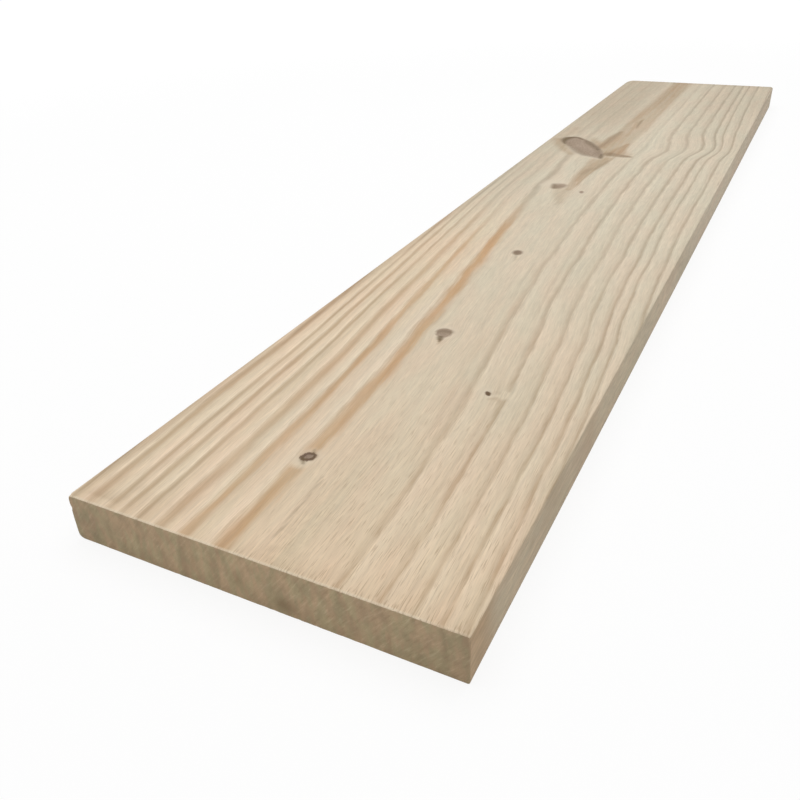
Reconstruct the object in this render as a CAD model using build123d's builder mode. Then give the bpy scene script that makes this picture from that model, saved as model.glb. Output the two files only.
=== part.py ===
from build123d import *
import os

# A planed softwood plank, sawn square at both ends and lying flat on one wide face.
# Millimetres. X runs along the grain, Y across the width and Z up through the thickness.
# The origin is the middle of the underside.

# Section as planed, and the length it was cut to
length = 1200.0
width = 220.0
thickness = 28.0

# Arrises along the length. The left-hand edge, at +Y, was eased rounder than the right-hand one.
left_lower_arris = 3.5
left_upper_arris = 2.0
right_lower_arris = 1.0
right_upper_arris = 1.0

# Break on the sawn ends, where the fibres of the edges have crumbled away
end_break = 0.4

# Each long arris: its corner of the section, as width and height, and its radius
left = width / 2
right = -width / 2
arrises = [
    ((left, 0), left_lower_arris),
    ((left, thickness), left_upper_arris),
    ((right, 0), right_lower_arris),
    ((right, thickness), right_upper_arris),
]

with BuildPart() as plank:
    # The section, drawn on the near end's plane and run along the grain
    with BuildSketch(Plane.YZ.offset(-length / 2)) as section:
        Rectangle(width, thickness, align=(Align.CENTER, Align.MIN))
        for corner, radius in arrises:
            nearest = section.vertices().sort_by_distance(corner)[0]
            fillet(nearest, radius=radius)
    extrude(amount=length)

    # The sawn ends lose their sharp rim
    sawn_ends = plank.faces().filter_by(Axis.X)
    chamfer(sawn_ends.edges(), length=end_break)

plank.part.label = "plank"

os.makedirs("parts", exist_ok=True)
export_step(plank.part, "parts/plank.step")
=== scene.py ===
from collections import namedtuple
from functools import reduce

import bpy
import numpy as np
from mathutils import Matrix, Vector, noise
from mathutils.geometry import delaunay_2d_cdt


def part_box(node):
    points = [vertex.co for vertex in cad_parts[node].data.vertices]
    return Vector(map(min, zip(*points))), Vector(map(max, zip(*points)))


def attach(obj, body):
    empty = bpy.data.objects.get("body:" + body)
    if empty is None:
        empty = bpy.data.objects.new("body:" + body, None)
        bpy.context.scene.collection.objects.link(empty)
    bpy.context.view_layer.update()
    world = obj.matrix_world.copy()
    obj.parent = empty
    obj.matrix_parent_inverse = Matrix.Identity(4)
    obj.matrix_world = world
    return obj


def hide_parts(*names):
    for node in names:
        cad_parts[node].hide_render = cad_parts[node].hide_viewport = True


# A planed pine plank, lying flat.
# Places on the plank are in millimetres: along from the near end, across from the left-hand edge
# as the photograph shows it, and deep below the top face. MM takes them to the frame's metres.
# A range (start, end) is where something grows from nothing to its full. It may run backwards.

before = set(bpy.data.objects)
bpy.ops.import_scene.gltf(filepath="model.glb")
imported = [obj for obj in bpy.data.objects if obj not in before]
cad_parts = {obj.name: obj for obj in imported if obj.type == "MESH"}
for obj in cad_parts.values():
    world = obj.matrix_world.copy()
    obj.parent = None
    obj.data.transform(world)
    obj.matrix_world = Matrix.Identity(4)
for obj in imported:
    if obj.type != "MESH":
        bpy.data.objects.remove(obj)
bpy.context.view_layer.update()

MM = 0.001
low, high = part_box("plank")
LENGTH = round((high.x - low.x) / MM, 3)
WIDTH = round((high.y - low.y) / MM, 3)
THICKNESS = round((high.z - low.z) / MM, 3)

# Arrises as on the solid, clockwise from the upper left, and the break on the sawn ends
ARRISES = (2.0, 1.0, 1.0, 3.5)
END_BREAK = 0.4

# Spacing of the mesh
TOP_SPACING = 1.8
UNDERSIDE_SPACING = 4.5
EDGE_SPACING = 2.4
ALONG_SPACING = 9.0
END_SPACING = 0.6
WORN_SPACING = 2.5
CAP_SPACING = 1.7
ARC_STEPS = 4
# A zone of finer mesh fades out to this many half widths and a margin
ZONE_FADE = 2.2
ZONE_MARGIN = 4
# Finer mesh at the knots: axis, margin, least and greatest spacing, and the steps in a half size
KNOTS_ALONG = (0, 3, 1.0, 2.4)
KNOTS_ACROSS = (1, 1, 0.9, 1.8)
KNOT_STEPS = 6

# The tree. The pith drifts across the plank, and comes up to the top face beyond the middle.
# Stations are along: place.
PITH_ACROSS = {
    0: 124.4, 100: 120.3, 210: 111.3, 300: 102.8, 400: 94.1, 500: 86.6, 600: 81.6,
    700: 78.8, 800: 77.6, 1000: 77.3, 1200: 76.8,
}
PITH_DEPTH = {
    0: 21.5, 100: 22.5, 200: 25.5, 300: 26.5, 400: 25, 500: 22, 540: 20.2, 600: 19.7,
    620: 19.4, 660: 16.5, 700: 11.3, 760: 3, 800: 2, 1200: 2,
}
# The outer rings grew off-centre, round this line, and go over to it in this range of radii
RING_CENTRE = {
    0: 126.2, 100: 120.3, 210: 114.8, 300: 109.6, 400: 103.8, 500: 99.1, 600: 97.6,
    700: 95.4, 850: 94.3, 900: 92.8, 1000: 89.3, 1100: 87.3, 1200: 86.3,
}
OFF_CENTRE_RANGE = (46, 112)
# Right of the pith the dark line comes later, by this share of a ring
RIGHT_LAG = 0.05
# The left side goes over to the right one in this range beside the pith
SIDE_RANGE = (-25, 25)
# Left of the pith the rings lie this far nearer to it, the outermost less so
LEFT_DRAW = {
    0: 1.2, 100: 1.9, 195: 2.2, 262: 1.0, 330: 2.2, 420: 3.0, 480: 3.4, 555: 1.8,
    650: 3.4, 1200: 3.0,
}
LEFT_DRAW_RANGE = (15, 60)
LEFT_DRAW_LOSS = [(0.9, 60, 115)]
# By the near end the outermost of them spread again, by this much
NEAR_LEFT_SPREAD = 1.7
SPREAD_RANGE = (92, 108)
SPREAD_ALONG = (190, 100)
# Right of it they lie this far out
RIGHT_DRAW = {
    0: 0.4, 100: 0.7, 195: 1.7, 260: -0.3, 330: -1.4, 400: -1.6, 480: -0.9, 555: -1.3,
    650: -0.7, 740: -1.6, 840: -0.9, 1200: -0.6,
}
RIGHT_DRAW_RANGE = (15, 45)

# Each year's ring: outer radius, then its latewood's share, strength and warmth left of the pith, and
# share and strength right of it
Ring = namedtuple("Ring", "radius left_share left_strength left_warmth right_share right_strength")
RINGS = [
    Ring(20.5, 0.10, 0.15, 0.5, 0.20, 0.40),
    Ring(41.0, 0.54, 1.00, 1.0, 0.34, 0.66),
    Ring(59.2, 0.48, 0.95, 0.9, 0.36, 0.82),
    Ring(73.2, 0.62, 0.81, 0.65, 0.42, 0.68),
    Ring(85.3, 0.42, 0.90, 0.5, 0.44, 0.84),
    Ring(95.4, 0.54, 0.92, 0.55, 0.52, 0.96),
    Ring(102.5, 0.54, 0.87, 0.5, 0.54, 0.88),
    Ring(115.2, 0.54, 0.92, 0.6, 0.44, 0.96),
    Ring(124, 0.36, 0.90, 0.5, 0.40, 0.05),
]
RINGS += [Ring(radius, 0.36, 0.90, 0.5, 0.40, 0.90) for radius in (133, 142, 151)]

# Where the rings right of the pith swell round a knot: place along, how much farther along the outer
# rings do so, reach before and after, height. The outermost swell half as much.
Swell = namedtuple("Swell", "along lean before after height")
SWELLS = [Swell(770, 22, 33, 52, 7.8), Swell(424, 0, 28, 26, 1.0), Swell(262, 0, 28, 30, 1.6)]
SWELL_RANGE = (28, 62)
SWELL_LEAN_RANGE = (62, 95)
SWELL_LOSS = [(0.5, 96, 120)]


def oval(along, across, length, width, turn=0.0):
    """Outline of an oval knot; turn is in degrees from along towards across."""
    c, s = np.cos(np.radians(turn)), np.sin(np.radians(turn))
    points = []
    for step in np.radians(np.arange(0, 360, 18)):
        a = np.cos(step) * length / 2
        b = np.sin(step) * width / 2
        points.append((along + a * c - b * s, across + a * s + b * c))
    return points


# Knots: face, outline, how dark core and rim are, how far the rim fades, and whether fibres bend round it
Knot = namedtuple("Knot", "face outline core rim soft bends")
TOP = "top"
UNDERSIDE = "underside"
OVAL_KNOT = [
    (583.5, 69), (586, 65.5), (593, 63.5), (600, 62.5), (603, 66), (604, 73), (600, 79), (592, 78),
    (585.5, 74),
]
LARGE_KNOT = [
    (711, 83), (715, 70), (721, 58), (731, 47.5), (744, 38.5), (759, 30), (770, 23), (780, 18), (790, 16),
    (799, 18.5), (804, 26), (802, 34), (793, 44), (783, 53), (772, 61), (760, 68.5), (748, 75), (735, 80),
    (723, 83),
]
PIN_KNOT = Knot(TOP, oval(177.5, 157.4, 5.2, 2.7, -40), 0.85, 0.9, 0.9, True)
KNOTS = [
    Knot(TOP, oval(78.6, 94.4, 10.0, 7.8, 40), 0.52, 0.92, 0.9, False),
    Knot(TOP, oval(240.5, 100.5, 14.0, 11.5, -12), 0.19, 0.15, 2.4, True),
    Knot(TOP, oval(401.0, 95.8, 10.5, 8.2, -15), 0.44, 0.10, 3.6, True),
    Knot(TOP, OVAL_KNOT, 0.10, 0.0, 6.0, True),
    Knot(TOP, oval(582, 98.2, 9, 4.4, -12), 0.25, 0.0, 2.4, True),
    Knot(TOP, LARGE_KNOT, 0.23, 0.05, 5.0, False),
    PIN_KNOT,
    Knot(UNDERSIDE, oval(742, 116, 46, 24, 24), 0.25, 0.4, 2.0, True),
    Knot(UNDERSIDE, oval(252, 72, 15, 13), 0.40, 0.6, 1.2, True),
    Knot(UNDERSIDE, oval(408, 152, 12, 10), 0.45, 0.5, 1.2, True),
    Knot(UNDERSIDE, oval(598, 134, 19, 15), 0.30, 0.4, 2.0, True),
]
# Fibres bend round a knot: how far they shift, and how far along and aside they do, in its radii
BEND_SHIFT = 0.7
BEND_CORE = 0.6
BEND_ALONG = 2.4
BEND_ASIDE = 2.2
# How much farther off a knot counts as it fades into the plank
KNOT_FADE = 40.0

# Strokes of colour on the top face: strength, the share of the half width over which a stroke fades,
# and its points (along, across, half width)
STROKE_DEPTH = (10, 2)
BROWN_STROKES = [
    # Resin-filled wood round the pith, from the oval knot to the large one
    (0.34, 0.7, [(538, 90, 1.5), (552, 85, 5), (568, 80, 6.5), (584, 77.5, 7)]),
    (0.5, 0.35, [(586, 84, 3), (603, 83, 5), (637, 81.5, 6.6), (658, 82, 7.6), (675, 82.5, 8.8),
                  (690, 84, 10), (714, 85.5, 11)]),
    (0.62, 0.9, [(618, 83, 2), (640, 82, 4), (660, 82, 5), (678, 83.5, 5.6), (694, 86, 5.4),
                 (714, 89, 4.5)]),
    (0.5, 0.8, [(604, 87, 0.8), (637, 87, 1.1), (658, 88, 1.4), (672, 89.8, 1.6), (690, 92.6, 1.8),
                 (712, 95, 1.8), (724, 95.8, 1.5)]),
    # From the large knot to the far end
    (0.85, 0.7, [(758, 70, 4), (785, 71, 5.5), (810, 72, 5.5), (832, 73.5, 4), (848, 75, 2)]),
    (0.96, 0.6, [(742, 93, 9), (760, 94, 6.5), (778, 96, 3.4), (789, 97, 1.5)]),
    (0.54, 0.35, [(738, 86, 14), (800, 86, 14), (860, 87, 14.5), (950, 85, 14.5), (1050, 86, 15),
                  (1200, 87, 14)]),
    (0.45, 0.8, [(842, 73, 3), (890, 73, 3), (920, 75, 4), (960, 77, 4.5), (1000, 79, 4.5),
                 (1060, 80, 4.5), (1120, 79.5, 4.5), (1200, 78, 4.5)]),
    (0.5, 0.8, [(826, 86, 2.2), (860, 84, 2.4), (890, 82, 2), (908, 80.5, 1.4)]),
    (0.6, 0.8, [(866, 88.5, 1.5), (890, 86, 2), (908, 85, 2.2), (924, 84.6, 1.4)]),
    (0.3, 0.6, [(1000, 88, 6), (1050, 87, 9), (1130, 88, 10), (1200, 88, 10)]),
    (0.3, 0.8, [(1085, 92, 5), (1130, 89, 7), (1165, 88, 7), (1200, 88, 7)]),
    (0.28, 0.8, [(855, 102.5, 1.6), (900, 99.5, 2), (950, 98, 2.4), (1010, 97, 2.4)]),
    # Round the large knot, and its tail
    (0.68, 0.9, [(722, 46, 4), (742, 33, 7), (764, 20, 7), (786, 11, 6)]),
    (0.3, 1, [(800, 13, 5), (825, 17, 8), (850, 16, 6)]),
    (0.45, 0.9, [(762, 73, 4), (778, 63, 5), (792, 53, 4)]),
    (0.36, 1, [(770, 66, 4), (786, 58, 6), (802, 52, 4)]),
    (0.22, 1, [(688, 76, 3), (706, 76, 4)]),
    (0.42, 0.9, [(732, 84, 4), (750, 79, 5), (772, 78, 6), (800, 80, 6), (835, 82, 4)]),
    (0.4, 0.9, [(742, 88, 9), (746, 98, 7), (740, 107, 5)]),
    (0.6, 0.5, [(734, 87, 8), (732, 96, 7), (730.5, 105, 5.5), (730, 112, 3)]),
    # By the near left rim, at the second knot's tail and beside the pin knot
    (0.32, 0.8, [(6, 8, 0.7), (6.4, 18, 1), (6, 30, 0.7)]),
    (0.6, 0.8, [(224, 104.5, 0.5), (230, 102.3, 1.6)]),
    (0.4, 0.8, [(172, 160.5, 1.2), (174, 164, 1.8), (171, 168, 1.6), (160, 169.6, 1.2),
                 (146, 170.5, 0.8)]),
    (0.3, 0.8, [(178, 160, 1.6), (180, 162, 2.2)]),
]
DARK_STROKES = [
    # A thin line by the near end, and the dark places of the nearest knot
    (0.34, 0.9, [(16, 115.6, 0.4), (30, 114, 0.6), (45, 113, 0.7), (60, 111.8, 0.6),
                 (68, 110.8, 0.3)]),
    (0.6, 0.9, [(72, 95.3, 0.8), (74.8, 93.6, 1.7), (76.5, 91.8, 1)]),
    (0.4, 1, [(76.5, 97.6, 1), (80.5, 98, 1)]),
    (0.45, 0.9, [(81.5, 95.6, 1.2), (85.5, 94, 0.6)]),
    # The second knot, the third one and the oval one
    (0.9, 0.7, [(227.6, 103.1, 0.6), (231.4, 101.7, 2), (233.2, 101, 2.2)]),
    (0.52, 1, [(241.4, 96.8, 1.8), (242.6, 100.6, 3), (243, 104.2, 2.4)]),
    (0.25, 0.8, [(385, 99.6, 0.7), (396, 96.2, 1.2)]),
    (0.5, 1, [(398.5, 96, 2.8), (401.5, 95, 2.8)]),
    (0.48, 1, [(586, 68, 2.2), (593, 66.5, 3), (599, 64.5, 1.8)]),
    (0.34, 1, [(589, 71, 3.4), (594, 72.5, 4)]),
    # In the brown wood before the large knot
    (0.2, 0.9, [(640, 82, 2), (652, 81.5, 4), (664, 84, 4.5), (673, 86, 2.5)]),
    (0.24, 0.9, [(668, 89.5, 1.5), (680, 90, 2.2), (692, 91, 2.2), (706, 93.5, 1.5)]),
    # The large knot: its far tip, its core, its rims and its tail
    (0.97, 1, [(764, 26, 0.8), (774, 21.5, 2.2), (785, 19.5, 4.2), (793, 20.5, 4.6), (798, 25, 3.2),
                 (800, 31, 1.6), (792, 40, 1.4)]),
    (0.35, 1, [(778, 20, 2.4), (787, 20, 3.6), (794, 22, 2.4)]),
    (0.16, 1, [(772, 34, 7), (788, 30, 8)]),
    (0.13, 1, [(722, 66, 6), (734, 55, 8), (746, 46, 6)]),
    (0.3, 1, [(764, 69, 3), (790, 71, 4), (812, 71.5, 3.6), (835, 73.5, 2.4), (849, 74.5, 1.2)]),
    (0.24, 1, [(722, 62, 4), (733, 51, 5), (748, 40, 5), (764, 30.5, 4), (774, 25, 3)]),
    (0.42, 1, [(870, 88, 0.8), (890, 85.8, 1.3), (906, 85, 1.4), (920, 84.6, 0.9)]),
    (0.64, 1, [(790, 43, 1.2), (779, 51, 4.4), (768, 59, 4), (758, 66, 3.4), (749, 71, 2)]),
    (0.3, 1, [(752, 69, 3), (742, 73, 4), (730, 75, 4)]),
    (0.7, 0.8, [(714, 82.5, 2), (722, 81, 2.6), (730, 79.5, 1.6)]),
    (0.36, 0.5, [(734, 88, 7.5), (732, 96, 6.5), (730.5, 105, 5), (730, 112, 2.5)]),
    (0.22, 0.9, [(730, 88, 4), (737, 87.5, 4)]),
    (0.25, 1, [(730.5, 103, 3.5), (730, 110, 2.6)]),
    # The pin knot
    (0.6, 0.9, [(177, 157.8, 1.4), (178.4, 157, 1.2)]),
]
# Pale wood beside the oval knot, and where the large one's left rim fades
PALE_STROKES = [
    (0.6, 1, [(594, 56, 5), (605, 60, 7), (611, 68, 6)]),
    (0.4, 1, [(710, 80, 3), (715, 68, 4.5), (724, 54, 5), (738, 42, 5), (752, 33.5, 3)]),
]
# Pale wood beside a knot, where the line of a ring is broken: along, across, half sizes
PALE_GAPS = [(72.5, 94, 5.0, 10), (179, 166, 6.0, 5)]
PALE_GAP_RANGE = (1.3, 0.4)
PALE_GAP_DEPTH = (6, 0.5)

# Stains on the near sawn end: across, deep, half sizes and strength
END_STAINS = [(129, 21.5, 6, 4, 0.75), (104, 17, 3.5, 5, 0.45), (78, 16, 4, 8, 0.25)]
# Stains on the right-hand edge: along, deep, half sizes and strength
EDGE_STAINS = [
    (77, 12, 4.5, 1.8, 0.6), (112, 8, 20, 16, 0.38), (150, 5, 12, 8, 0.14), (176, 10, 15, 16, 0.42),
    (14, 22, 14, 5, 0.18),
]
EDGE_STAIN_RANGE = (WIDTH - 0.7, WIDTH - 0.2)
# A sawn end is lighter by a hump of (amount, place, spread) across it, and darker by steps at its sides
END_HUMP = (0.07, 88, 34)
END_SIDES = [(0.09, 30, 8), (0.07, 185, 214)]

# The planed edges: reach of their colour round the arrises, its change along them, and the rings' loss
LEFT_EDGE_REACH = 1.2
RIGHT_EDGE_REACH = 0.7
EDGE_DEPTH = (0.2, 1.0)
EDGE_TONE = [(0.5, 6, 40), (0.5, 200, 600)]
EDGE_LOSS = 0.65

# How the rings' dark lines change along the plank, in steps of (amount, start, end) and humps of
# (amount, place, spread). Left of the pith the two inner rings and the third fade in their own way.
INNER_LOSS = [(0.15, 460, 560), (0.55, 660, 840)]
THIRD_LOSS = [(0.30, 190, 330), (0.38, 380, 480)]
OUTER_LOSS = [(0.15, 230, 360), (0.63, 380, 780), (-0.20, 820, 960)]
LEFT_NEAR_DIP = (0.20, 0, 200)
LEFT_SHARE_LOSS = [(0.5, 780, 940)]
# Right of it they begin weak and grow, but for the middle, the far end and the inner rings by the large knot
RIGHT_START = 0.84
RIGHT_GAIN = [(0.24, 60, 260), (0.19, 450, 850)]
RIGHT_MIDDLE_DIP = (0.14, 440, 150)
RIGHT_FAR_LOSS = [(0.14, 880, 1080)]
RIGHT_INNER_LOSS = [(0.45, 640, 760)]
RIGHT_KNOT_DIP = (0.30, 830, 110)
# Share of a dark line over which it comes in and goes out: left, and right by the near end and beyond
LEFT_RISE = 0.45
LEFT_FALL = 0.42
RIGHT_RISE = (0.72, 0.62)
RIGHT_FALL = (0.26, 0.38)
RIGHT_CHANGE = (150, 500)
# How far along the lines stay orange, and those on the right broken
LEFT_WARMTH_RANGE = (580, 400)
RIGHT_WARMTH = 0.6
RIGHT_WARMTH_REACH = 260
BROKEN_REACH = 220

# Zones of the wood: strength, and the ranges along and across in which each comes in
ANYWHERE = (-1, 0)
TOP_DEPTH = (12, 0)
# Rims where the dark lines fade, and the near rim where fibres are torn
FADED_RIMS = [(0.6, (9, 2), (50, 35)), (0.6, (45, 15), (206, 213))]
TORN_RIM = (1.0, (5.5, 1.0), (70, 120))
# Darker places of the top face: painted shade on the left rim, where its round arris turns from the light,
# the near left and the near rim, then painted shade on the right rim, against the light its round arris
# catches, and the left side, the right side and the far end
DIM_RIMS_AND_LEFT_SHADE = [(0.80, ANYWHERE, (9, 5)), (0.34, (36, 10), (75, 50)), (0.26, (14, 3), (60, 100))]
# Painted shade on the right rim, against the light its round arris catches and its bright earlywood, and how
# far along it fades
RIGHT_RIM_PAINTED_SHADE = (0.35, ANYWHERE, (211, 216))
RIGHT_RIM_SHADE_REACH = 150
DIM_LEFT = [(0.42, (430, 640), (50, 22)), (1.0, (700, 960), (92, 42))]
DIM_RIGHT = (0.22, (700, 860), (120, 160))
DIM_END = [(0.32, 880, 1080), (0.30, 1178, 1194)]
DIM_CORNER = 0.15
# Warmer wood by the near end and on the left, and the reach of what shows there only
WARM_REACH = 230
WARM_LEFT = (0.85, (640, 330), (100, 45))
NEAR_REACH = 120
# Bright earlywood: fades along the left side, and is even on the right
BRIGHT_LOSS = [(0.65, 170, 420)]
BRIGHT_RIGHT = 0.55
# Dashes of resin: fewer left of the pith, and far along
DASHES_LEFT = 0.35
DASHES_RANGE = (-40, 10)
DASHES_FAR = 0.15
DASHES_REACH = 190
# Pale fringe of torn fibres on the near rim, partly a painted highlight where the edge catches the light,
# weaker at its right
FRINGE_ALONG = (1.4, 0.5)
FRINGE_DEPTH = (0.8, 0.2)
FRINGE_STRENGTH = 0.8
FRINGE_LOSS = [(0.5, 190, 208)]
# The material's patterns are laid out in centimetres
FLOW_SCALE = 0.1

# Relief in mm, as steps and humps: latewood lies lower, knots are cracked at the rim, and one is a hole
WASHBOARD = [(0.05, 1, 6)]
CRACK = (0.22, 0, 0.9)
PIN_HOLE = [(0.9, 0.2, -1.3)]
# Fibres torn off by the saw: reach from an end, depth, size, and the range in from the right edge
END_REACH = 3.0
TORN = [(0.40, END_REACH, 0.2)]
TORN_SIZE = 2.6
TORN_RIGHT = (0, 9)
# The near left corner is blunt, and the edge below it has a chip
BLUNT_RANGE = (END_REACH, 0.8)
BLUNT_ACROSS = (0.6, 0, 2.2)
BLUNT_DEEP = (1.0, 0, 3.5)
CHIP = (0.8, 8.2, 1.6)
# The far end's corners are worn round, the left one more: how far along and across, and how far in the
# mesh gives way
WORN_LEFT = (20.0, 9.0)
WORN_RIGHT = (9.0, 4.5)
WORN_REACH = 90.0
# The saw's marks on the ends rise to the right: this turn, in radians, stands them upright. They are
# waves of (depth, radians for each mm, start).
SAW_TURN = -0.66
SAW_WAVES = [(0.08, 1.7, 0.0), (0.06, 0.71, 1.0)]
# Points inside a sawn end keep clear of its rim, and more so of the round lower left arris
CAP_MARGIN = 1.4
CAP_CORNER = 4.0
# A face is end grain where it faces along the plank by this much, and up or down by less than this
END_FACING = (0.35, 0.75)
TOP_FACING = 0.3

# The texture map: bounds of its rows, margins at their ends, and the sawn ends' columns
MAP_ROWS = {
    "top": (0.008, 0.523), "right": (0.531, 0.593), "underside": (0.601, 0.851), "left": (0.859, 0.921),
    "ends": (0.929, 0.991),
}
MAP_MARGIN = 0.006
MAP_NEAR_COLUMN = 0.006
MAP_FAR_COLUMN = 0.506
MAP_COLUMN_WIDTH = 0.488

# The camera, in the frame's metres, as solved from the plank's edges in the photograph
CAMERA_PLACE = Vector((-0.80539, -0.19246, 0.27213))
CAMERA_FORWARD = Vector((0.75433, 0.40261, -0.51856))
CAMERA_RIGHT = Vector((0.45199, -0.89135, -0.03455))
CAMERA_LENS = 35.96
CAMERA_SENSOR = 36.0
CAMERA_CLIP = (0.01, 100.0)


def ramp(start, end, value):
    """0 before start, 1 after end and an even curve between them. End may be the smaller."""
    share = np.clip((value - start) / (end - start), 0, 1)
    return share * share * (3 - 2 * share)


def blend(first, second, share):
    """First where the share is 0, second where it is 1."""
    return first + (second - first) * share


def gained(value, steps):
    """Sum of the steps of (amount, start, end) that a value has passed."""
    return sum(amount * ramp(start, end, value) for amount, start, end in steps)


def hump(value, amount, place, spread):
    """The amount at a place, falling off to both sides."""
    return amount * np.exp(-(((value - place) / spread) ** 2))


def zone_share(zone, along, across):
    """How much a zone counts at each place."""
    strength, along_range, across_range = zone
    return strength * ramp(*along_range, along) * ramp(*across_range, across)


def smooth_path(along, stations):
    """A smooth curve through stations, read at each place along."""
    x, y = np.array(list(stations.items()), float).T
    slope = np.gradient(y, x)
    i = np.clip(np.searchsorted(x, along) - 1, 0, len(x) - 2)
    span = x[i + 1] - x[i]
    q = np.clip((along - x[i]) / span, 0, 1)
    start = (1 + 2 * q) * (1 - q) ** 2 * y[i] + q * (1 - q) ** 2 * span * slope[i]
    end = q * q * (3 - 2 * q) * y[i + 1] + q * q * (q - 1) * span * slope[i + 1]
    return start + end


def line_gap(along, across, start, end):
    """Distance from each place to a straight line, and the share of the way along it."""
    run = (end[0] - start[0], end[1] - start[1])
    du = along - start[0]
    dv = across - start[1]
    q = np.clip((du * run[0] + dv * run[1]) / (run[0] ** 2 + run[1] ** 2), 0, 1)
    return np.hypot(du - q * run[0], dv - q * run[1]), q


def outline_gap(points, along, across):
    """Distance from each place to a closed outline, in mm and negative inside it."""
    gap = np.full_like(along, np.inf)
    inside = np.zeros(len(along), bool)
    for start, end in zip(points, points[1:] + points[:1]):
        gap = np.minimum(gap, line_gap(along, across, start, end)[0])
        crossed = (start[1] > across) != (end[1] > across)
        rise = end[1] - start[1] or 1e-9
        inside ^= crossed & (along < start[0] + (across - start[1]) * (end[0] - start[0]) / rise)
    return np.where(inside, -gap, gap)


def stroke_cover(strokes, along, across, deep):
    """How much the strokes together cover each place of the top face."""
    bare = np.ones_like(along)
    for strength, soft, points in strokes:
        reach = np.full_like(along, np.inf)
        for start, end in zip(points, points[1:]):
            gap, q = line_gap(along, across, start, end)
            reach = np.minimum(reach, gap / blend(start[2], end[2], q))
        bare *= 1 - strength * ramp(1 + soft, 1 - soft, reach)
    return (1 - bare) * ramp(*STROKE_DEPTH, deep)


def knot_middle(knot):
    """A knot's middle, and its half sizes along and across."""
    points = np.array(knot.outline)
    low_corner, high_corner = points.min(axis=0), points.max(axis=0)
    return (low_corner + high_corner) / 2, (high_corner - low_corner) / 2


def face_share(knot, deep):
    """How much a knot counts at a depth: all at its own face, nothing past the middle."""
    below = deep if knot.face == TOP else THICKNESS - deep
    return ramp(THICKNESS / 2, 1, below)


def bent_across(along, across, deep):
    """The place across that the fibres had before they bent round the knots."""
    shift = np.zeros_like(across)
    for knot in KNOTS:
        if knot.bends:
            middle, half = knot_middle(knot)
            radius = half.mean()
            aside = across - middle[1]
            near = hump(along, 1.0, middle[0], BEND_ALONG * radius)
            near *= np.exp(-np.abs(aside) / (BEND_ASIDE * radius)) * face_share(knot, deep)
            shift -= BEND_SHIFT * radius * np.tanh(aside / (BEND_CORE * radius)) * near
    return across + shift


def drawn(along, off):
    """The place off the rings' centre, had the rings grown even on both sides."""
    left = smooth_path(along, LEFT_DRAW) * ramp(*LEFT_DRAW_RANGE, -off)
    off = off - left * (1 - gained(-off, LEFT_DRAW_LOSS))
    off = off + NEAR_LEFT_SPREAD * ramp(*SPREAD_RANGE, -off) * ramp(*SPREAD_ALONG, along)
    return off - smooth_path(along, RIGHT_DRAW) * ramp(*RIGHT_DRAW_RANGE, off)


def swelling(along, off):
    """How far the rings right of the pith are pushed out by the knots, all together."""
    share = ramp(*SWELL_RANGE, off) * (1 - gained(off, SWELL_LOSS))
    lean = ramp(*SWELL_LEAN_RANGE, off)
    pushed = np.zeros_like(off)
    for swell in SWELLS:
        away = along - swell.along - swell.lean * lean
        pushed += hump(away, swell.height, 0, np.where(away < 0, swell.before, swell.after))
    return pushed * share


def grain(along, across, deep):
    """Ring number, with a whole number at each ring's outer edge, and the place off the rings' centre."""
    deep_off = deep - smooth_path(along, PITH_DEPTH)
    inner = smooth_path(along, PITH_ACROSS)
    outer = smooth_path(along, RING_CENTRE)
    place = bent_across(along, across, deep)
    centre = inner
    for _ in range(4):
        radius = np.hypot(place - centre, deep_off)
        centre = blend(inner, outer, ramp(*OFF_CENTRE_RANGE, radius))
    off = drawn(along, place - centre)
    pushed = swelling(along, off)
    radius = np.hypot(off, deep_off) - pushed
    radii = [0] + [ring.radius for ring in RINGS]
    return np.interp(radius, radii, np.arange(len(radii))), off - pushed


def graded(start, end, coarse, zones):
    """Places from start to end, coarse apart but closer in zones of (centre, half width, spacing)."""
    x = np.linspace(start, end, 6001)
    spacing = np.full_like(x, coarse)
    for centre, half, fine in zones:
        spread = ramp(half, ZONE_FADE * half + ZONE_MARGIN, np.abs(x - centre))
        spacing = np.minimum(spacing, blend(fine, coarse, spread))
    steps = np.diff(x) / ((spacing[1:] + spacing[:-1]) / 2)
    count = np.concatenate([[0], np.cumsum(steps)])
    return np.interp(np.linspace(0, count[-1], int(np.ceil(count[-1])) + 1), count, x)


def knot_zones(face, mesh):
    """Zones of finer mesh at a face's knots, along or across."""
    axis, margin, least, most = mesh
    zones = []
    for knot in KNOTS:
        if knot.face == face:
            middle, half = knot_middle(knot)
            spacing = np.clip(half[axis] / KNOT_STEPS, least, most)
            zones.append((middle[axis], half[axis] + margin, spacing))
    return zones


def arc(across, deep, radius, start):
    """Points of a quarter circle, with no ends, turning from start degrees."""
    angles = np.radians(start + np.linspace(0, 90, ARC_STEPS + 1)[1:-1])
    return [(across + radius * np.sin(a), deep - radius * np.cos(a)) for a in angles]


def section_outline():
    """The section from the near end, clockwise from the upper left: points (across, deep) by face."""
    ul, ur, lr, ll = ARRISES
    edge_points = round(THICKNESS / EDGE_SPACING)
    top = graded(ul, WIDTH - ur, TOP_SPACING, knot_zones(TOP, KNOTS_ACROSS))
    right = np.linspace(ur, THICKNESS - lr, edge_points)
    under = graded(ll, WIDTH - lr, UNDERSIDE_SPACING, knot_zones(UNDERSIDE, KNOTS_ACROSS))
    left = np.linspace(THICKNESS - ll, ul, edge_points)
    lower_right = arc(WIDTH - lr, THICKNESS - lr, lr, 90)
    lower_left = arc(ll, THICKNESS - ll, ll, 180)
    return {
        "top": arc(ul, ul, ul, -90) + [(t, 0.0) for t in top] + arc(WIDTH - ur, ur, ur, 0),
        "right": [(WIDTH, d) for d in right],
        "underside": lower_right + [(t, THICKNESS) for t in under[::-1]] + lower_left,
        "left": [(0.0, d) for d in left],
    }


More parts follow.
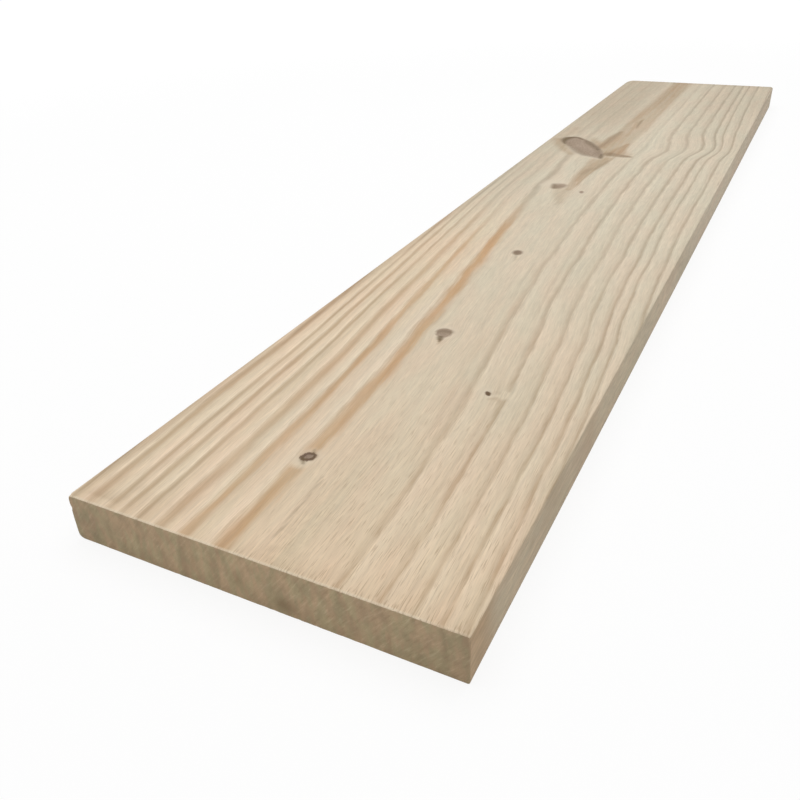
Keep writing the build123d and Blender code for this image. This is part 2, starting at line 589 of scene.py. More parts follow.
def plank_stations():
    """Places along the plank at which its mesh has a section."""
    zones = knot_zones(TOP, KNOTS_ALONG) + knot_zones(UNDERSIDE, KNOTS_ALONG)
    zones += [(0, END_REACH, END_SPACING), (LENGTH, END_REACH, END_SPACING)]
    zones += [(LENGTH, WORN_LEFT[0], WORN_SPACING)]
    between = graded(END_BREAK, LENGTH - END_BREAK, ALONG_SPACING, zones)
    return np.concatenate([[0.0], between, [LENGTH]])


def outline_normals(outline):
    """Outward normals (across, deep) of a closed outline that runs clockwise."""
    step = np.roll(outline, -1, axis=0) - np.roll(outline, 1, axis=0)
    normal = np.stack([step[:, 1], -step[:, 0]], axis=1)
    return normal / np.linalg.norm(normal, axis=1, keepdims=True)


def picked(rows, column, index):
    """A column of a table, at each place's own row."""
    return np.array([getattr(row, column) for row in rows])[index]


def knot_fields(along, across, deep):
    """Distance to the nearest knot's outline, in mm, and that knot's core, rim and softness."""
    gaps = []
    for knot in KNOTS:
        buried = KNOT_FADE * (1 - face_share(knot, deep))
        gaps.append(outline_gap(knot.outline, along, across) + buried)
    nearest = np.argmin(gaps, axis=0)
    values = {"knot_" + name: picked(KNOTS, name, nearest) for name in ("core", "rim", "soft")}
    return {"knot_edge": np.min(gaps, axis=0), **values}


def ring_table(number, column):
    """A ring's own value at each place."""
    return picked(RINGS, column, np.clip(np.floor(number).astype(int), 0, len(RINGS) - 1))


def pale_gap(along, across, deep):
    """Share of the line of a ring that is broken beside a knot."""
    gap = np.zeros_like(along)
    for place, aside, half_along, half_across in PALE_GAPS:
        reach = ((along - place) / half_along) ** 2 + ((across - aside) / half_across) ** 2
        gap = np.maximum(gap, ramp(*PALE_GAP_RANGE, reach))
    return gap * ramp(*PALE_GAP_DEPTH, deep)


def stain_cover(stains, sideways, deep):
    """How much the stains cover each place of an end or an edge."""
    cover = np.zeros_like(deep)
    for place, depth, half_side, half_deep, strength in stains:
        stain = hump(sideways, strength, place, half_side) * hump(deep, 1.0, depth, half_deep)
        cover = np.maximum(cover, stain)
    return cover


def edge_share(across, deep):
    """1 on the planed edges, fading over their arrises."""
    left = ramp(LEFT_EDGE_REACH, 0, across)
    right = ramp(RIGHT_EDGE_REACH, 0, WIDTH - across)
    between = ramp(*EDGE_DEPTH, deep) * ramp(*EDGE_DEPTH, THICKNESS - deep)
    return np.maximum(left, right) * between


def left_strength(along, number):
    """How strongly each ring's dark line shows left of the pith."""
    inner = 1 - gained(along, INNER_LOSS)
    third = 1 - gained(along, THIRD_LOSS)
    outer = 1 - gained(along, OUTER_LOSS)
    kept = np.where(number < 2, inner, np.where(number < 3, third, outer))
    return ring_table(number, "left_strength") * kept * (1 - hump(along, *LEFT_NEAR_DIP))


def right_strength(along, number):
    """How strongly each ring's dark line shows right of the pith."""
    kept = RIGHT_START + gained(along, RIGHT_GAIN)
    kept *= 1 - hump(along, *RIGHT_MIDDLE_DIP)
    kept *= 1 - gained(along, RIGHT_FAR_LOSS)
    kept *= np.where(number < 2, 1 - gained(along, RIGHT_INNER_LOSS), 1)
    kept *= np.where(number < 4, 1 - hump(along, *RIGHT_KNOT_DIP), 1)
    return ring_table(number, "right_strength") * kept


def latewood_fields(along, across, deep, number, right):
    """Width, strength, sharpness and warmth of the rings' dark lines."""
    left_share = ring_table(number, "left_share") * (1 - gained(along, LEFT_SHARE_LOSS))
    left_warmth = ring_table(number, "left_warmth") * ramp(*LEFT_WARMTH_RANGE, along)
    right_warmth = RIGHT_WARMTH * np.exp(-along / RIGHT_WARMTH_REACH)
    strength = blend(left_strength(along, number), right_strength(along, number), right)
    strength *= 1 - pale_gap(along, across, deep)
    strength *= 1 - EDGE_LOSS * edge_share(across, deep)
    for rim in FADED_RIMS:
        strength *= 1 - zone_share(rim, along, across) * ramp(*TOP_DEPTH, deep)
    change = ramp(*RIGHT_CHANGE, along)
    return {
        "late_share": blend(left_share, ring_table(number, "right_share"), right),
        "late_strength": strength,
        "late_rise": blend(LEFT_RISE, blend(*RIGHT_RISE, change), right),
        "late_fall": blend(LEFT_FALL, blend(*RIGHT_FALL, change), right),
        "late_warmth": blend(left_warmth, right_warmth, right),
        "broken": right * np.exp(-along / BROKEN_REACH),
    }


def dimness(along, across):
    """How much darker the top face is painted by its rims, on the left, on the right and towards the far
    end; on the left and right rims this is painted shade.
    """
    # The first of these zones, on the left rim, is painted shade where its round arris turns from the light
    rims = [zone_share(zone, along, across) for zone in DIM_RIMS_AND_LEFT_SHADE]
    # Painted shade on the right rim, against the light that its round arris catches, fading along
    rims.append(zone_share(RIGHT_RIM_PAINTED_SHADE, along, across) * np.exp(-along / RIGHT_RIM_SHADE_REACH))
    left = np.maximum(*(zone_share(zone, along, across) for zone in DIM_LEFT))
    end = gained(along, DIM_END)
    most = np.maximum.reduce([left, end, *rims])
    return most, DIM_CORNER * left * end, zone_share(DIM_RIGHT, along, across)


def tone_fields(along, across, deep, off, right):
    """Where the wood is warm, bright or dim, with painted shade on its side rims, and where it has dashes of
    resin and torn fibres, partly a painted highlight.
    """
    upper = ramp(*TOP_DEPTH, deep)
    most, corner, right_dim = dimness(along, across)
    # The near rim's pale fringe: torn fibres, and partly a painted highlight where the edge catches the
    # light
    fringe_and_highlight = ramp(*FRINGE_ALONG, along) * ramp(*FRINGE_DEPTH, deep)
    dashes = blend(DASHES_LEFT, 1.0, ramp(*DASHES_RANGE, off))
    return {
        "warm": np.maximum(np.exp(-along / WARM_REACH), zone_share(WARM_LEFT, along, across)),
        "near": np.exp(-along / NEAR_REACH),
        "bright": blend(1 - gained(along, BRIGHT_LOSS), BRIGHT_RIGHT, right),
        "dim": (most + right_dim) * upper + corner * upper ** 2,
        "dashes": dashes * blend(DASHES_FAR, 1.0, hump(along, 1.0, 0, DASHES_REACH)),
        "torn_rim": zone_share(TORN_RIM, along, across) * upper,
        "fringe_and_highlight": fringe_and_highlight * (FRINGE_STRENGTH - gained(across, FRINGE_LOSS)),
    }


def edge_and_end_fields(along, across, deep):
    """Tones and stains of the planed edges and the sawn ends."""
    edge_stain = stain_cover(EDGE_STAINS, along, deep) * ramp(*EDGE_STAIN_RANGE, across)
    return {
        "on_edge": edge_share(across, deep),
        "edge_tone": gained(along, EDGE_TONE),
        "edge_stain": edge_stain,
        "end_tone": 1 + hump(across, *END_HUMP) - gained(across, END_SIDES),
        "end_stain": stain_cover(END_STAINS, across, deep) * (along < 1),
    }


def fields(along, across, deep):
    """What the material reads at each place."""
    number, off = grain(along, across, deep)
    right = ramp(*SIDE_RANGE, off)
    number = np.maximum(number - RIGHT_LAG * right, 0)
    return {
        "ring": number,
        "right_side": right,
        "flow": np.stack([along, off, deep], axis=-1) * FLOW_SCALE,
        "brown": stroke_cover(BROWN_STROKES, along, across, deep),
        "dark": stroke_cover(DARK_STROKES, along, across, deep),
        "halo": stroke_cover(PALE_STROKES, along, across, deep),
        **knot_fields(along, across, deep),
        **latewood_fields(along, across, deep, number, right),
        **tone_fields(along, across, deep, off, right),
        **edge_and_end_fields(along, across, deep),
    }


def relief(along, across, deep, end_distance):
    """How far the worked surface stands in from the planed one, in mm."""
    number = grain(along, across, deep)[0]
    knots = knot_fields(along, across, deep)
    washboard = gained(end_distance, WASHBOARD) * (0.5 + 0.5 * np.cos(2 * np.pi * number))
    crack = knots["knot_rim"] * hump(knots["knot_edge"], *CRACK)
    pin_hole = gained(outline_gap(PIN_KNOT.outline, along, across), PIN_HOLE)
    return washboard + crack + pin_hole * face_share(PIN_KNOT, deep)


def torn(across, deep):
    """Uneven wear of a sawn end, 0 to 1."""
    places = np.column_stack([np.zeros_like(across), across, deep]) / TORN_SIZE
    return np.array([max(0.0, noise.noise(Vector(place))) for place in places])


def end_wear(along, across, deep, reach):
    """Fibres torn off by the saw at the rim of an end, with a chip and a blunt corner at the near one."""
    wear = gained(reach, TORN) * torn(across, deep) * ramp(*TORN_RIGHT, WIDTH - across)
    near_end = (along < LENGTH / 2) * ramp(*BLUNT_RANGE, reach)
    chip = (across < 1) * hump(deep, *CHIP)
    blunt = hump(across, *BLUNT_ACROSS) * hump(deep, *BLUNT_DEEP)
    return wear + near_end * (chip + blunt)


def worn_edge(along, size):
    """How far in from its edge a worn far corner lies, for its size along and across."""
    left_over = np.clip((LENGTH - along) / size[0], 0, 1)
    return size[1] * (1 - np.sqrt(1 - (1 - left_over) ** 2))


def worn_corners(along, across):
    """The place across once the far corners are worn round, with the mesh beside them drawn in."""
    from_left = worn_edge(along, WORN_LEFT) * np.clip(1 - across / WORN_REACH, 0, 1)
    from_right = worn_edge(along, WORN_RIGHT) * np.clip(1 - (WIDTH - across) / WORN_REACH, 0, 1)
    return across + from_left - from_right


def build_shell(outline, stations):
    """Sections of vertices along the grain, in plank places, with their relief."""
    normals = outline_normals(outline)
    across, deep = outline.T
    sections = []
    for place in stations:
        along = np.full(len(outline), place)
        reach = min(place, LENGTH - place)
        inward = max(END_BREAK - reach, 0)
        if reach > END_BREAK:
            inward = inward + relief(along, across, deep, reach)
        if reach < END_REACH:
            inward = inward + end_wear(along, across, deep, reach)
        worn = worn_corners(along, across - normals[:, 0] * inward)
        sections.append(np.column_stack([along, worn, deep - normals[:, 1] * inward]))
    return np.concatenate(sections)


def shell_quads(rows, count):
    """Quads of the shell, with the section and the outline point that each begins at."""
    row, point = np.meshgrid(np.arange(rows - 1), np.arange(count), indexing="ij")
    row, point = row.ravel(), point.ravel()
    after = (point + 1) % count
    here = row * count
    beyond = here + count
    return np.column_stack([here + point, here + after, beyond + after, beyond + point]), row, point


def shell_map(sides, stations, row, point):
    """Where each corner of the shell's quads lies on the texture map: a row for each side."""
    outline = np.concatenate(list(sides.values()))
    step = np.linalg.norm(np.roll(outline, -1, axis=0) - outline, axis=1)
    starts = []
    ends = []
    first = 0
    for name, side in sides.items():
        lengths = step[first:first + len(side)]
        walked = np.concatenate([[0], np.cumsum(lengths)]) / lengths.sum()
        heights = blend(*MAP_ROWS[name], walked)
        starts.append(heights[:-1])
        ends.append(heights[1:])
        first += len(side)
    v_start = np.concatenate(starts)[point]
    v_end = np.concatenate(ends)[point]
    u = blend(MAP_MARGIN, 1 - MAP_MARGIN, stations / LENGTH)
    corner_u = np.column_stack([u[row], u[row], u[row + 1], u[row + 1]])
    corner_v = np.column_stack([v_start, v_end, v_end, v_start])
    return np.column_stack([corner_u.ravel(), corner_v.ravel()])


def cap_triangles(rim):
    """Points inside a sawn end's rim, and triangles over both: the rim's own points come first."""
    count = len(rim)
    first, last = rim[:, 0].min() + CAP_MARGIN, rim[:, 0].max() - CAP_MARGIN
    corner = rim[:, 0].min() + CAP_CORNER
    across = np.arange(CAP_SPACING, WIDTH, CAP_SPACING)
    deep = np.linspace(0, THICKNESS, round(THICKNESS / CAP_SPACING) + 1)[1:-1]
    inside = [(t, d) for t in across for d in deep
              if first < t < last and CAP_MARGIN < d < THICKNESS - CAP_MARGIN
              and not (t < corner and d > THICKNESS - CAP_CORNER)]
    places = [Vector(point) for point in rim] + [Vector(point) for point in inside]
    lines = [(i, (i + 1) % count) for i in range(count)]
    made = delaunay_2d_cdt(places, lines, [list(range(count))], 1, 1e-5)
    if len(made[0]) != len(places):
        raise ValueError("the end's points moved")
    return np.array(inside), made[2]


def saw_height(across, deep):
    """How far the saw's slanting marks stand in from an end, in mm."""
    slant = across - deep * np.tan(SAW_TURN)
    return sum(depth * (0.5 + 0.5 * np.sin(slant * turn + start)) for depth, turn, start in SAW_WAVES)


def sawn_end(rim, far):
    """A sawn end in its rim: places inside, triangles over rim and places, map places of their corners."""
    inside, triangles = cap_triangles(rim)
    saw = saw_height(inside[:, 0], inside[:, 1])
    flat = np.concatenate([rim, inside])
    turned = []
    for triangle in triangles:
        (t0, d0), (t1, d1), (t2, d2) = flat[triangle]
        faces_far = (t1 - t0) * (d2 - d0) - (t2 - t0) * (d1 - d0) > 0
        turned.append(triangle if faces_far == far else triangle[::-1])
    corners = flat[np.concatenate(turned)]
    column = MAP_FAR_COLUMN if far else MAP_NEAR_COLUMN
    map_u = column + MAP_COLUMN_WIDTH * corners[:, 0] / WIDTH
    map_v = blend(*MAP_ROWS["ends"], corners[:, 1] / THICKNESS)
    along = LENGTH - saw if far else saw
    return np.column_stack([along, inside]), turned, np.column_stack([map_u, map_v])


def sharpen_rims(mesh, rims):
    """Keep the rims of the sawn ends sharp; each rim is its first vertex and the one after its last."""
    ends = np.empty(len(mesh.edges) * 2, int)
    mesh.edges.foreach_get("vertices", ends)
    ends = ends.reshape(-1, 2)
    sharp = np.zeros(len(ends), bool)
    for first, after in rims:
        sharp |= ((ends >= first) & (ends < after)).all(axis=1)
    mesh.attributes.new("sharp_edge", "BOOLEAN", "EDGE").data.foreach_set("value", sharp)


def write_field(mesh, name, values, domain="POINT"):
    """Store a number or a vector for each vertex or face."""
    kind, key = ("FLOAT_VECTOR", "vector") if values.ndim == 2 else ("FLOAT", "value")
    mesh.attributes.new(name, kind, domain).data.foreach_set(key, values.ravel())


def end_grain(mesh, quads):
    """1 on the sawn ends, which follow the shell's quads, and where the shell turns towards them."""
    facing = np.empty(len(mesh.polygons) * 3)
    mesh.polygons.foreach_get("normal", facing)
    facing = np.abs(facing.reshape(-1, 3))
    turned = ramp(*END_FACING, facing[:, 0]) * (facing[:, 2] < TOP_FACING)
    turned[quads:] = 1
    return turned


def add_object(name, data):
    """A new object in the scene."""
    made = bpy.data.objects.new(name, data)
    bpy.context.scene.collection.objects.link(made)
    return made


def build_plank():
    """The plank's mesh: planed shell and sawn ends, with the fields that its material reads."""
    sides = section_outline()
    stations = plank_stations()
    outline = np.concatenate(list(sides.values()))
    count = len(outline)
    shell = build_shell(outline, stations)
    quads, row, point = shell_quads(len(stations), count)
    places = [shell]
    faces = quads.tolist()
    map_places = [shell_map(sides, stations, row, point)]
    rims = [(0, count), (len(shell) - count, len(shell))]
    total = len(shell)
    for far, (first, after) in enumerate(rims):
        inside, triangles, corners = sawn_end(shell[first:after, 1:], bool(far))
        numbers = np.concatenate([np.arange(first, after), np.arange(total, total + len(inside))])
        faces += [numbers[triangle].tolist() for triangle in triangles]
        places.append(inside)
        map_places.append(corners)
        total += len(inside)

    along, across, deep = np.concatenate(places).T
    mesh = bpy.data.meshes.new("plank_skin")
    in_frame = np.column_stack([low.x + along * MM, high.y - across * MM, high.z - deep * MM])
    mesh.from_pydata(in_frame.tolist(), [], faces)
    mesh.polygons.foreach_set("use_smooth", np.ones(len(faces), bool))
    sharpen_rims(mesh, rims)
    for name, values in fields(along, across, np.clip(deep, 0, THICKNESS)).items():
        write_field(mesh, name, values)
    write_field(mesh, "end_grain", end_grain(mesh, len(quads)), "FACE")
    layer = mesh.uv_layers.new(name="OFBake")
    layer.data.foreach_set("uv", np.concatenate(map_places).ravel())
    mesh.update()
    mesh.validate()
    return add_object("plank_skin", mesh)


class Nodes:
    """Short forms for building one material's nodes."""

    def __init__(self, tree):
        self.tree = tree

    def put(self, socket, value):
        """Link or set a socket; a colour of three parts becomes opaque."""
        if isinstance(value, bpy.types.NodeSocket):
            self.tree.links.new(value, socket)
        elif isinstance(value, tuple) and len(value) == 3 and socket.type == "RGBA":
            socket.default_value = (*value, 1.0)
        else:
            socket.default_value = value

    def add(self, kind, settings=None, **inputs):
        """A node with its settings, and its inputs by name with _ for each space."""
        node = self.tree.nodes.new("ShaderNode" + kind)
        for name, value in (settings or {}).items():
            setattr(node, name, value)
        for name, value in inputs.items():
            self.put(node.inputs[name.replace("_", " ")], value)
        return node

    def math(self, operation, *values, clamp=False):
        node = self.add("Math", {"operation": operation, "use_clamp": clamp})
        for socket, value in zip(node.inputs, values):
            self.put(socket, value)
        return node.outputs[0]

    def product(self, *values):
        return reduce(lambda first, second: self.math("MULTIPLY", first, second), values)

    def total(self, *values):
        return reduce(lambda first, second: self.math("ADD", first, second), values)

    def step(self, value, start, end, low_value=0.0, high_value=1.0):
        """From the low value at start to the high one at end, by an even curve."""
        node = self.add("MapRange", {"interpolation_type": "SMOOTHSTEP"})
        for name, setting in (("Value", value), ("From Min", start), ("From Max", end),
                              ("To Min", low_value), ("To Max", high_value)):
            self.put(node.inputs[name], setting)
        return node.outputs[0]

    def swing(self, value, half_range, amount):
        """Up and down by the amount as noise goes through its middle, a half range to each side."""
        return self.step(value, 0.5 - half_range, 0.5 + half_range, -amount, amount)

    def mix(self, share, first, second, blend_type="MIX"):
        node = self.add("Mix", {"data_type": "RGBA", "blend_type": blend_type})
        for index, value in ((0, share), (6, first), (7, second)):
            self.put(node.inputs[index], value)
        return node.outputs[2]

    def tinted(self, colour, tint):
        return self.mix(1.0, colour, tint, "MULTIPLY")

    def scaled(self, colour, value):
        grey = self.add("CombineColor", Red=value, Green=value, Blue=value)
        return self.tinted(colour, grey.outputs[0])

    def field(self, name, output="Fac"):
        """One of the fields stored on the mesh."""
        return self.add("Attribute", {"attribute_name": name}).outputs[output]

    def noise(self, flow, pattern, turn=0.0):
        """Noise along the grain; turn is about the grain, in radians."""
        if turn:
            flow = self.add("Mapping", Vector=flow, Rotation=(turn, 0.0, 0.0)).outputs[0]
        stretch, detail, rough = pattern
        place = self.add("Mapping", Vector=flow, Scale=stretch).outputs[0]
        return self.add("TexNoise", Vector=place, Scale=1.0, Detail=detail, Roughness=rough).outputs[0]


# Patterns of noise: repeats for each cm along, across and deep, then detail and roughness
STREAK = ((0.09, 2.6, 2.6), 3.0, 0.55)
FIBRE = ((0.40, 10.0, 10.0), 4.0, 0.62)
FINE_FIBRE = ((1.1, 30.0, 30.0), 2.0, 0.6)
PATCH = ((0.14, 0.6, 0.6), 3.0, 0.5)
RIPPLE = ((2.0, 0.8, 0.8), 3.0, 0.55)
BLOTCH = ((0.8, 3.2, 3.2), 3.0, 0.6)
RING_WANDER = ((0.30, 1.4, 0.5), 2.0, 0.5)
LINE_STRENGTH = ((0.10, 0.9, 0.9), 3.0, 0.6)
LINE_GAPS = ((0.35, 1.6, 1.6), 2.0, 0.5)
DASH = ((0.85, 19.0, 19.0), 1.0, 0.45)
NICK = ((1.2, 11.0, 11.0), 1.0, 0.4)
KNOT_RAGGED = ((3.0, 4.5, 4.5), 3.0, 0.6)
SAW_MARKS = ((1.0, 7.0, 1.1), 3.0, 0.6)
PORES = ((1.0, 20.0, 20.0), 2.0, 0.6)
CLOUD = ((1.0, 1.6, 1.0), 3.0, 0.55)
DRIFT = ((1.0, 2.2, 0.7), 2.0, 0.5)

# Growth rings inside a knot: radians for each mm in from its rim
KNOT_RING_TURN = 3.6

# Colours of the wood, linear
EARLY_NEAR = (0.748, 0.596, 0.425)
EARLY_BRIGHT_NEAR = (0.836, 0.679, 0.505)
EARLY_CENTRE_NEAR = (0.688, 0.551, 0.385)
EARLY_FAR = (0.652, 0.578, 0.452)
EARLY_BRIGHT_FAR = (0.708, 0.632, 0.500)
LATE_WARM = (0.538, 0.338, 0.178)
LATE_COOL = (0.465, 0.388, 0.285)
BROWN = (0.425, 0.300, 0.184)
DARK_WOOD = (0.135, 0.088, 0.035)
KNOT_PALE = (0.442, 0.338, 0.246)
KNOT_DARK = (0.100, 0.050, 0.024)
KNOT_HALO = (0.705, 0.608, 0.475)
EDGE_NEAR = (0.500, 0.341, 0.192)
EDGE_MID = (0.562, 0.462, 0.320)
EDGE_FAR = (0.578, 0.480, 0.353)
END_EARLY = (0.485, 0.365, 0.222)
END_LATE = (0.370, 0.268, 0.155)
END_FLECK = (0.640, 0.510, 0.330)
END_STAIN = (0.250, 0.165, 0.085)
END_OLIVE = (0.960, 1.010, 0.970)
END_BROWN = (1.050, 0.990, 0.985)
# Pale cream of the near rim's torn fibres, partly a painted highlight
FRINGE_AND_HIGHLIGHT = (0.850, 0.740, 0.560)
# Tint of the darker places, and of the painted shade on the left and right rims
DIM_AND_SHADE_TINT = (0.790, 0.755, 0.720)
PINK_TINT = (1.028, 0.984, 0.960)
YELLOW_TINT = (0.990, 1.004, 0.986)
RESIN = (0.380, 0.262, 0.155)
WHITE = (1.0, 1.0, 1.0)


def ring_phase(n, flow, fibre):
    """Share of its ring that a place has passed, with the rings wandering a little."""
    wander = n.swing(n.noise(flow, RING_WANDER), 0.3, 0.05)
    return n.math("FRACT", n.total(n.field("ring"), wander, n.swing(fibre, 0.3, 0.035)))


def latewood(n, flow, fibre, phase):
    """How much of a place is latewood: each ring's dark line, and a faint false one before it."""
    line = n.noise(flow, LINE_STRENGTH)
    right = n.field("right_side")
    share = n.field("late_share")
    start = n.math("SUBTRACT", 1.0, share)
    full = n.total(start, n.product(share, n.field("late_rise")))
    ends = n.math("SUBTRACT", 1.0, n.product(share, n.field("late_fall")))
    late = n.product(n.step(phase, start, full), n.step(phase, 1.0, ends))
    late = n.math("POWER", late, n.step(right, 0.0, 1.0, 1.0, 1.5))
    false_line = n.product(n.step(phase, 0.46, 0.58), n.step(phase, 0.66, 0.60), 0.38)
    false_line = n.product(false_line, n.step(right, 0.0, 1.0, 0.6, 1.0), n.step(line, 0.40, 0.62))
    gaps = n.product(n.field("broken"), n.step(n.noise(flow, LINE_GAPS), 0.35, 0.65, 0.35, -0.55))
    uneven = n.product(n.step(fibre, 0.25, 0.75, 0.84, 1.12), n.step(line, 0.28, 0.68, 1.18, 0.80))
    strength = n.product(n.field("late_strength"), uneven, n.total(1.0, gaps))
    return n.math("MULTIPLY", n.math("MAXIMUM", late, false_line), strength, clamp=True)


def earlywood(n, phase):
    """The pale wood of the rings, brightest where a ring begins, and the duller wood of the edges."""
    outer = n.step(n.field("ring"), 0.9, 1.5)
    bright = n.product(n.step(phase, 0.50, 0.0), outer, n.field("bright"))
    near = n.mix(bright, n.mix(outer, EARLY_CENTRE_NEAR, EARLY_NEAR), EARLY_BRIGHT_NEAR)
    far = n.mix(bright, EARLY_FAR, EARLY_BRIGHT_FAR)
    early = n.mix(n.field("warm"), far, near)
    tone = n.field("edge_tone")
    edge = n.mix(n.step(tone, 0.5, 1.0), n.mix(n.step(tone, 0.0, 0.5), EDGE_NEAR, EDGE_MID), EDGE_FAR)
    return n.mix(n.product(n.field("on_edge"), 0.92), early, edge)


def knot_colours(n, flow, wood):
    """Wood with the knots laid in: pale halo, dark rim and mottled core, then tails and dark places."""
    ragged = n.noise(flow, KNOT_RAGGED)
    soft = n.field("knot_soft")
    edge = n.total(n.field("knot_edge"), n.swing(ragged, 0.3, 0.7))
    halo = n.product(n.step(edge, 6.0, 0.5), n.step(edge, -0.5, 0.5), n.step(soft, 3.0, 4.5, 0.35, 0.0))
    wood = n.mix(halo, wood, KNOT_HALO)
    rim = n.product(n.step(n.math("ABSOLUTE", n.total(edge, 1.3)), 2.2, 0.3), n.field("knot_rim"))
    years = n.math("SINE", n.product(edge, KNOT_RING_TURN))
    core = n.total(n.field("knot_core"), n.swing(ragged, 0.2, 0.16), n.product(years, 0.06))
    shade = n.math("MAXIMUM", core, rim, clamp=True)
    inside = n.step(n.math("DIVIDE", edge, soft), 0.5, -0.5)
    wood = n.mix(inside, wood, n.mix(shade, KNOT_PALE, KNOT_DARK))
    wood = n.mix(n.field("halo"), wood, KNOT_HALO)
    dark = n.product(n.field("dark"), n.step(ragged, 0.2, 0.8, 0.85, 1.1))
    return n.mix(dark, wood, DARK_WOOD)


def end_colours(n, flow, late, saw):
    """A sawn end: open pores, growth rings, stains and the saw's slanting marks."""
    pores = n.noise(flow, PORES)
    cloud = n.noise(flow, CLOUD)
    drift = n.noise(flow, DRIFT)
    marked = n.step(n.field("right_side"), 0.0, 1.0, 0.55, 0.85)
    end = n.mix(n.product(late, 0.75), END_EARLY, END_LATE)
    end = n.mix(n.step(pores, 0.56, 0.72, 0.0, 0.34), end, END_FLECK)
    end = n.mix(n.product(n.step(saw, 0.53, 0.68, 0.0, 0.55), marked), end, END_FLECK)
    end = n.mix(n.product(n.step(saw, 0.47, 0.32, 0.0, 0.60), marked), end, END_LATE)
    end = n.mix(n.step(pores, 0.42, 0.28, 0.0, 0.3), end, END_LATE)
    end = n.scaled(end, n.product(n.step(cloud, 0.3, 0.7, 0.89, 1.09), n.field("end_tone")))
    end = n.tinted(end, n.mix(n.step(drift, 0.38, 0.62), END_OLIVE, END_BROWN))
    return n.mix(n.field("end_stain"), end, END_STAIN)


def planed_colours(n, flow, fibre, fine_fibre, phase, late):
    """The planed faces: rings, brown wood, light and dark of the fibres, resin marks and stains."""
    streak = n.noise(flow, STREAK)
    ripple = n.noise(flow, RIPPLE)
    blotch = n.noise(flow, BLOTCH)
    late_colour = n.mix(n.field("late_warmth"), LATE_COOL, LATE_WARM)
    wood = n.mix(late, earlywood(n, phase), late_colour)
    wood = n.mix(n.product(n.field("brown"), n.step(streak, 0.25, 0.75, 0.70, 1.15)), wood, BROWN)

    # Fibres, the planer's ripples by the near end, and the colour that drifts with slow patches
    centre = n.step(n.field("ring"), 1.3, 0.9)
    value = n.total(n.step(fibre, 0.2, 0.8, 0.91, 1.08), n.swing(fine_fibre, 0.3, 0.05),
                    n.step(streak, 0.25, 0.75, -0.05, 0.045), n.swing(blotch, 0.25, 0.035),
                    n.product(n.swing(blotch, 0.2, 0.05), n.field("on_edge")),
                    n.product(n.swing(ripple, 0.2, 0.06), n.field("near"), centre))
    wood = n.scaled(wood, value)
    wood = n.tinted(wood, n.mix(n.step(n.noise(flow, PATCH), 0.3, 0.7), YELLOW_TINT, PINK_TINT))
    # Darker places, with painted shade on the left and right rims
    wood = n.tinted(wood, n.mix(n.field("dim"), WHITE, DIM_AND_SHADE_TINT))

    # Resin canals as short dark dashes, nicks in the torn rim, and stains on the edge
    dash = n.step(n.noise(flow, DASH), 0.54, 0.66, 0.0, 0.50)
    wood = n.mix(n.product(dash, n.step(blotch, 0.34, 0.58), n.field("dashes")), wood, RESIN)
    nick = n.step(n.noise(flow, NICK), 0.54, 0.66, 0.0, 0.6)
    wood = n.mix(n.product(nick, n.field("torn_rim")), wood, RESIN)
    return n.mix(n.field("edge_stain"), wood, BROWN)


def empty_material(name):
    """A new material, and its nodes."""
    material = bpy.data.materials.new(name)
    material.use_nodes = True
    material.node_tree.nodes.clear()
    return material, Nodes(material.node_tree)


def pine_material():
    """Pine with rings, fibres, resin marks, knots and sawn end grain, all from the plank's fields."""
    material, n = empty_material("pine_planed")
    flow = n.field("flow", "Vector")
    fibre = n.noise(flow, FIBRE)
    fine_fibre = n.noise(flow, FINE_FIBRE)
    saw = n.noise(flow, SAW_MARKS, SAW_TURN)
    phase = ring_phase(n, flow, fibre)
    late = latewood(n, flow, fibre, phase)
    is_end = n.field("end_grain")
    wood = planed_colours(n, flow, fibre, fine_fibre, phase, late)
    wood = knot_colours(n, flow, wood)
    # The pale fringe of torn fibres on the near rim, partly a painted highlight where the edge catches the
    # light
    wood = n.mix(n.product(n.field("fringe_and_highlight"), n.step(fibre, 0.35, 0.65, 0.35, 1.0)), wood, FRINGE_AND_HIGHLIGHT)
    colour = n.mix(is_end, wood, end_colours(n, flow, late, saw))

    height = n.total(n.product(fibre, 0.5), n.product(fine_fibre, 0.5), n.product(saw, is_end, 3.0))
    bump = n.add("Bump", Height=height, Strength=0.25, Distance=0.0004).outputs[0]
    roughness = n.math("SUBTRACT", n.step(fibre, 0.2, 0.8, 0.70, 0.62), n.product(late, 0.08))
    shader = n.add("BsdfPrincipled", Base_Color=colour, Roughness=roughness, Normal=bump)
    shader.inputs["Specular IOR Level"].default_value = 0.3
    n.add("OutputMaterial", Surface=shader.outputs[0])
    return material


# The floor's half size and colour, and how white it shows by itself: near, far, the range in metres in
# which it goes from one to the other, and the share that isn't shaded
FLOOR_HALF = 15.0
FLOOR_ALBEDO = 0.9
FLOOR_WHITE = 1.02
FLOOR_WHITE_FAR = 1.115
FLOOR_FAR = (0.7, 2.6)
FLOOR_WHITE_SHARE = 0.85
# An even sky and one large soft lamp overhead
SKY_STRENGTH = 0.40
LAMP_PLACE = (0.15, 0.25, 2.4)
LAMP_SIDE = 3.0
LAMP_POWER = 47.0


def seen_directly(n):
    """1 for rays that show the background itself, by the camera, a gloss or glass."""
    path = n.add("LightPath")
    seen = n.math("MAXIMUM", path.outputs["Is Camera Ray"], path.outputs["Is Glossy Ray"])
    return n.math("MAXIMUM", seen, path.outputs["Is Transmission Ray"])


def mixed_shader(n, share, first, second):
    """Two shaders, with the second one's share."""
    mixed = n.add("MixShader")
    for socket, value in zip(mixed.inputs, (share, first.outputs[0], second.outputs[0])):
        n.put(socket, value)
    return mixed.outputs[0]


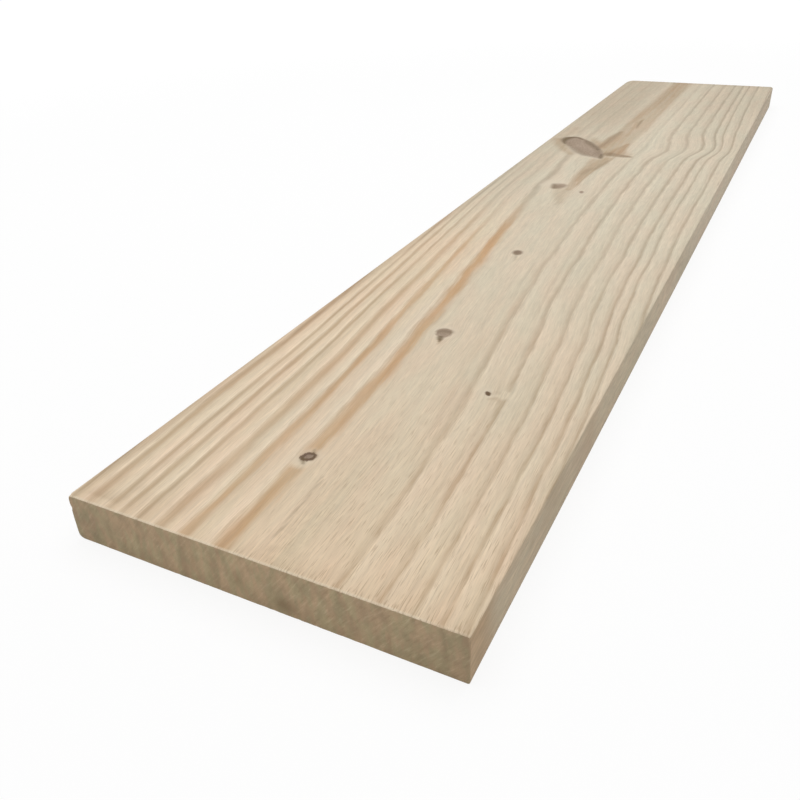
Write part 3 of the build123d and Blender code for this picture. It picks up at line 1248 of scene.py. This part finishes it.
def make_floor():
    """A pale floor under the plank, white to the camera but for a soft shadow."""
    material, n = empty_material("floor_white")
    plain = n.add("BsdfDiffuse", Color=(FLOOR_ALBEDO,) * 3)
    away = n.add("VectorMath", {"operation": "LENGTH"})
    n.put(away.inputs[0], n.add("TexCoord").outputs["Object"])
    strength = n.step(away.outputs["Value"], *FLOOR_FAR, FLOOR_WHITE, FLOOR_WHITE_FAR)
    white = n.add("Emission", Color=WHITE, Strength=strength)
    shown = n.product(seen_directly(n), FLOOR_WHITE_SHARE)
    n.add("OutputMaterial", Surface=mixed_shader(n, shown, plain, white))

    mesh = bpy.data.meshes.new("floor")
    signs = ((-1, -1), (1, -1), (1, 1), (-1, 1))
    mesh.from_pydata([(x * FLOOR_HALF, y * FLOOR_HALF, low.z) for x, y in signs], [], [(0, 1, 2, 3)])
    mesh.materials.append(material)
    floor = add_object("floor", mesh)


def light_scene():
    """The sky, white to the camera, and the lamp."""
    world = bpy.data.worlds.new("studio")
    world.use_nodes = True
    world.node_tree.nodes.clear()
    n = Nodes(world.node_tree)
    sky = n.add("Background", Color=WHITE, Strength=SKY_STRENGTH)
    white = n.add("Background", Color=WHITE, Strength=1.0)
    n.add("OutputWorld", Surface=mixed_shader(n, seen_directly(n), sky, white))
    bpy.context.scene.world = world

    lamp = bpy.data.lights.new("overhead", "AREA")
    lamp.shape = "SQUARE"
    lamp.size = LAMP_SIDE
    lamp.energy = LAMP_POWER
    add_object("overhead", lamp).location = LAMP_PLACE


def place_camera():
    """The photograph's own view."""
    data = bpy.data.cameras.new("camera")
    data.lens = CAMERA_LENS
    data.sensor_width = CAMERA_SENSOR
    data.clip_start, data.clip_end = CAMERA_CLIP
    camera = add_object("camera", data)
    forward = CAMERA_FORWARD.normalized()
    right = (CAMERA_RIGHT - forward * CAMERA_RIGHT.dot(forward)).normalized()
    turn = Matrix((right, right.cross(forward), -forward)).transposed()
    camera.matrix_world = Matrix.Translation(CAMERA_PLACE) @ turn.to_4x4()
    bpy.context.scene.camera = camera


plank = build_plank()
plank.data.materials.append(pine_material())
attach(plank, "root")
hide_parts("plank")

make_floor()
light_scene()
place_camera()
bpy.context.scene.view_settings.view_transform = "Standard"
